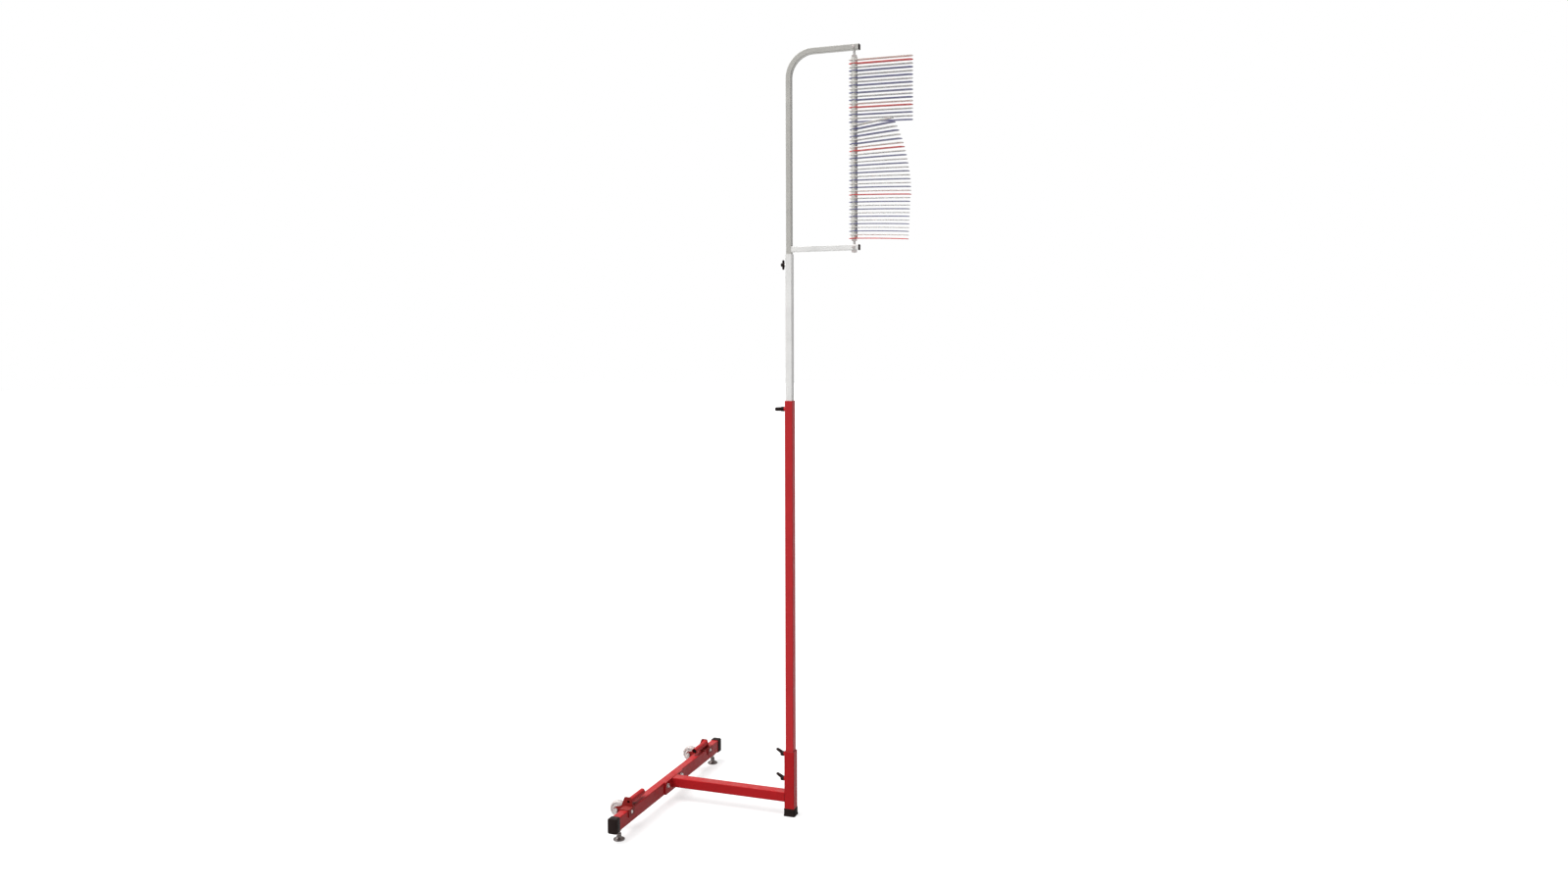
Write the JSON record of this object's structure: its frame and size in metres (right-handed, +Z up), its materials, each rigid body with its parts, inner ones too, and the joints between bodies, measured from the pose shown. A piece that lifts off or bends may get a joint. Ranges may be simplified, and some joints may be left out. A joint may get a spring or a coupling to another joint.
{
  "type": "vertical jump tester",
  "caption": "Free-standing jump-and-reach tester: telescoping square mast on a wheeled T base, with a rod of swivelling measuring vanes held between two arms.",
  "frame": {"origin": "on the floor, under the mast axis, at the bottom of the rubber shoe", "axes": "+Z up along the mast, +X towards the vane arms and away from the cross tube, +Y along the cross tube towards the left wheel"},
  "size_m": [1.0294, 0.922, 2.7737],
  "materials": {
    "red_base_paint": "semi-gloss red powder coat",
    "red_post_paint": "semi-gloss red powder coat",
    "silver_tube": "satin silver-grey paint",
    "zinc_fastener": "bright zinc plate",
    "steel_rod": "bright zinc plate",
    "black_plastic": "moulded black plastic",
    "black_rubber": "moulded black rubber",
    "liner_plastic": "moulded guide sleeve",
    "wheel_urethane": "milky cast urethane",
    "spacer_plastic": "moulded grey plastic",
    "vane_plastic": "extruded plastic strip, white or coloured"
  },
  "bodies": {
    "root": {"cross_tube": "red_base_paint", "cross_tube_caps": "black_plastic", "spine_tube": "red_base_paint", "flange_plate": "red_base_paint", "flange_bolts": "zinc_fastener", "mast_socket": "red_post_paint", "socket_liner": "liner_plastic", "socket_foot": "black_rubber", "wheel_bracket_left": "red_base_paint", "wheel_bracket_right": "red_base_paint", "foot_bars": "red_base_paint", "foot_bar_plugs": "black_plastic", "bracket_bolts": "zinc_fastener", "wheel_axles": "zinc_fastener", "axle_spacers": "zinc_fastener", "foot_nuts": "zinc_fastener"},
    "level_foot_left": {"level_foot_left": "zinc_fastener"},
    "level_foot_right": {"level_foot_right": "zinc_fastener"},
    "wheel_left": {"wheel_left": "wheel_urethane", "wheel_bearings_left": "zinc_fastener"},
    "wheel_right": {"wheel_right": "wheel_urethane", "wheel_bearings_right": "zinc_fastener"},
    "mast_lower": {"lower_post": "red_post_paint"},
    "mast_middle": {"middle_post": "silver_tube"},
    "mast_upper": {"upper_frame": "silver_tube", "lower_arm": "silver_tube", "arm_caps": "black_plastic", "vane_rod": "steel_rod", "rod_fasteners": "zinc_fastener", "vane_spacers": "spacer_plastic"},
    "socket_lever_lower": {"socket_lever_lower": "black_plastic"},
    "socket_lever_upper": {"socket_lever_upper": "black_plastic"},
    "post_lever": {"post_lever": "black_plastic"},
    "frame_knob": {"frame_knob": "black_plastic"},
    "vane_pair_01_02": {"vanes_01_02": "vane_plastic"},
    "vane_pair_03_04": {"vanes_03_04": "vane_plastic"},
    "vane_pair_05_06": {"vanes_05_06": "vane_plastic"},
    "vane_pair_07_08": {"vanes_07_08": "vane_plastic"},
    "vane_pair_09_10": {"vanes_09_10": "vane_plastic"},
    "vane_pair_11_12": {"vanes_11_12": "vane_plastic"},
    "vane_pair_13_14": {"vanes_13_14": "vane_plastic"},
    "vane_pair_15_16": {"vanes_15_16": "vane_plastic"},
    "vane_pair_17_18": {"vanes_17_18": "vane_plastic"},
    "vane_pair_19_20": {"vanes_19_20": "vane_plastic"},
    "vane_pair_21_22": {"vanes_21_22": "vane_plastic"},
    "vane_pair_23_24": {"vanes_23_24": "vane_plastic"},
    "vane_pair_25_26": {"vanes_25_26": "vane_plastic"},
    "vane_pair_27_28": {"vanes_27_28": "vane_plastic"},
    "vane_pair_29_30": {"vanes_29_30": "vane_plastic"},
    "vane_pair_31_32": {"vanes_31_32": "vane_plastic"},
    "vane_pair_33_34": {"vanes_33_34": "vane_plastic"},
    "vane_pair_35_36": {"vanes_35_36": "vane_plastic"},
    "vane_pair_37_38": {"vanes_37_38": "vane_plastic"},
    "vane_pair_39_40": {"vanes_39_40": "vane_plastic"},
    "vane_pair_41_42": {"vanes_41_42": "vane_plastic"},
    "vane_pair_43_44": {"vanes_43_44": "vane_plastic"},
    "vane_pair_45_46": {"vanes_45_46": "vane_plastic"},
    "vane_pair_47_48": {"vanes_47_48": "vane_plastic"},
    "vane_pair_49_50": {"vanes_49_50": "vane_plastic"}
  },
  "joints": [
    {"name": "lower_post_slide", "type": "slide", "parent": "root", "child": "mast_lower", "axis": [0, 0, 1], "range_m": [0, 0.09]},
    {"name": "middle_post_slide", "type": "slide", "parent": "mast_lower", "child": "mast_middle", "axis": [0, 0, 1], "range_m": [-0.47, 0.45]},
    {"name": "upper_frame_slide", "type": "slide", "parent": "mast_middle", "child": "mast_upper", "axis": [0, 0, 1], "range_m": [-0.006, 0.38]},
    {"name": "wheel_left_spin", "type": "hinge", "parent": "root", "child": "wheel_left", "pos_m": [-0.545, 0.31, 0.068], "axis": [0, 1, 0], "continuous": true},
    {"name": "wheel_right_spin", "type": "hinge", "parent": "root", "child": "wheel_right", "pos_m": [-0.545, -0.31, 0.068], "axis": [0, 1, 0], "continuous": true},
    {"name": "level_foot_left_turn", "type": "hinge", "parent": "root", "child": "level_foot_left", "pos_m": [-0.49, 0.41, 0], "axis": [0, 0, 1], "continuous": true},
    {"name": "level_foot_right_turn", "type": "hinge", "parent": "root", "child": "level_foot_right", "pos_m": [-0.49, -0.41, 0], "axis": [0, 0, 1], "continuous": true},
    {"name": "socket_lever_lower_turn", "type": "hinge", "parent": "root", "child": "socket_lever_lower", "pos_m": [0, 0, 0.1334], "axis": [-1, 0, 0], "range_deg": [0, 270]},
    {"name": "socket_lever_upper_turn", "type": "hinge", "parent": "root", "child": "socket_lever_upper", "pos_m": [0, 0, 0.225], "axis": [-1, 0, 0], "range_deg": [0, 270]},
    {"name": "post_lever_turn", "type": "hinge", "parent": "mast_lower", "child": "post_lever", "pos_m": [0, 0, 1.491], "axis": [-1, 0, 0], "range_deg": [0, 270]},
    {"name": "frame_knob_turn", "type": "hinge", "parent": "mast_middle", "child": "frame_knob", "pos_m": [0, 0, 2.011], "axis": [-1, 0, 0], "range_deg": [0, 360]},
    {"name": "vane_swing_01_02", "type": "hinge", "parent": "mast_upper", "child": "vane_pair_01_02", "pos_m": [0.2434, 0, 2.7192], "axis": [0, 0, 1], "continuous": true},
    {"name": "vane_swing_03_04", "type": "hinge", "parent": "mast_upper", "child": "vane_pair_03_04", "pos_m": [0.2434, 0, 2.6938], "axis": [0, 0, 1], "continuous": true},
    {"name": "vane_swing_05_06", "type": "hinge", "parent": "mast_upper", "child": "vane_pair_05_06", "pos_m": [0.2434, 0, 2.6684], "axis": [0, 0, 1], "continuous": true},
    {"name": "vane_swing_07_08", "type": "hinge", "parent": "mast_upper", "child": "vane_pair_07_08", "pos_m": [0.2434, 0, 2.643], "axis": [0, 0, 1], "continuous": true},
    {"name": "vane_swing_09_10", "type": "hinge", "parent": "mast_upper", "child": "vane_pair_09_10", "pos_m": [0.2434, 0, 2.6176], "axis": [0, 0, 1], "continuous": true},
    {"name": "vane_swing_11_12", "type": "hinge", "parent": "mast_upper", "child": "vane_pair_11_12", "pos_m": [0.2434, 0, 2.5922], "axis": [0, 0, 1], "continuous": true},
    {"name": "vane_swing_13_14", "type": "hinge", "parent": "mast_upper", "child": "vane_pair_13_14", "pos_m": [0.2434, 0, 2.5668], "axis": [0, 0, 1], "continuous": true},
    {"name": "vane_swing_15_16", "type": "hinge", "parent": "mast_upper", "child": "vane_pair_15_16", "pos_m": [0.2434, 0, 2.5414], "axis": [0, 0, 1], "continuous": true},
    {"name": "vane_swing_17_18", "type": "hinge", "parent": "mast_upper", "child": "vane_pair_17_18", "pos_m": [0.2434, 0, 2.516], "axis": [0, 0, 1], "continuous": true},
    {"name": "vane_swing_19_20", "type": "hinge", "parent": "mast_upper", "child": "vane_pair_19_20", "pos_m": [0.2434, 0, 2.4906], "axis": [0, 0, 1], "continuous": true},
    {"name": "vane_swing_21_22", "type": "hinge", "parent": "mast_upper", "child": "vane_pair_21_22", "pos_m": [0.2434, 0, 2.4652], "axis": [0, 0, 1], "continuous": true},
    {"name": "vane_swing_23_24", "type": "hinge", "parent": "mast_upper", "child": "vane_pair_23_24", "pos_m": [0.2434, 0, 2.4398], "axis": [0, 0, 1], "continuous": true},
    {"name": "vane_swing_25_26", "type": "hinge", "parent": "mast_upper", "child": "vane_pair_25_26", "pos_m": [0.2434, 0, 2.4144], "axis": [0, 0, 1], "continuous": true},
    {"name": "vane_swing_27_28", "type": "hinge", "parent": "mast_upper", "child": "vane_pair_27_28", "pos_m": [0.2434, 0, 2.389], "axis": [0, 0, 1], "continuous": true},
    {"name": "vane_swing_29_30", "type": "hinge", "parent": "mast_upper", "child": "vane_pair_29_30", "pos_m": [0.2434, 0, 2.3636], "axis": [0, 0, 1], "continuous": true},
    {"name": "vane_swing_31_32", "type": "hinge", "parent": "mast_upper", "child": "vane_pair_31_32", "pos_m": [0.2434, 0, 2.3382], "axis": [0, 0, 1], "continuous": true},
    {"name": "vane_swing_33_34", "type": "hinge", "parent": "mast_upper", "child": "vane_pair_33_34", "pos_m": [0.2434, 0, 2.3128], "axis": [0, 0, 1], "continuous": true},
    {"name": "vane_swing_35_36", "type": "hinge", "parent": "mast_upper", "child": "vane_pair_35_36", "pos_m": [0.2434, 0, 2.2874], "axis": [0, 0, 1], "continuous": true},
    {"name": "vane_swing_37_38", "type": "hinge", "parent": "mast_upper", "child": "vane_pair_37_38", "pos_m": [0.2434, 0, 2.262], "axis": [0, 0, 1], "continuous": true},
    {"name": "vane_swing_39_40", "type": "hinge", "parent": "mast_upper", "child": "vane_pair_39_40", "pos_m": [0.2434, 0, 2.2366], "axis": [0, 0, 1], "continuous": true},
    {"name": "vane_swing_41_42", "type": "hinge", "parent": "mast_upper", "child": "vane_pair_41_42", "pos_m": [0.2434, 0, 2.2112], "axis": [0, 0, 1], "continuous": true},
    {"name": "vane_swing_43_44", "type": "hinge", "parent": "mast_upper", "child": "vane_pair_43_44", "pos_m": [0.2434, 0, 2.1858], "axis": [0, 0, 1], "continuous": true},
    {"name": "vane_swing_45_46", "type": "hinge", "parent": "mast_upper", "child": "vane_pair_45_46", "pos_m": [0.2434, 0, 2.1604], "axis": [0, 0, 1], "continuous": true},
    {"name": "vane_swing_47_48", "type": "hinge", "parent": "mast_upper", "child": "vane_pair_47_48", "pos_m": [0.2434, 0, 2.135], "axis": [0, 0, 1], "continuous": true},
    {"name": "vane_swing_49_50", "type": "hinge", "parent": "mast_upper", "child": "vane_pair_49_50", "pos_m": [0.2434, 0, 2.1096], "axis": [0, 0, 1], "continuous": true}
  ]
}
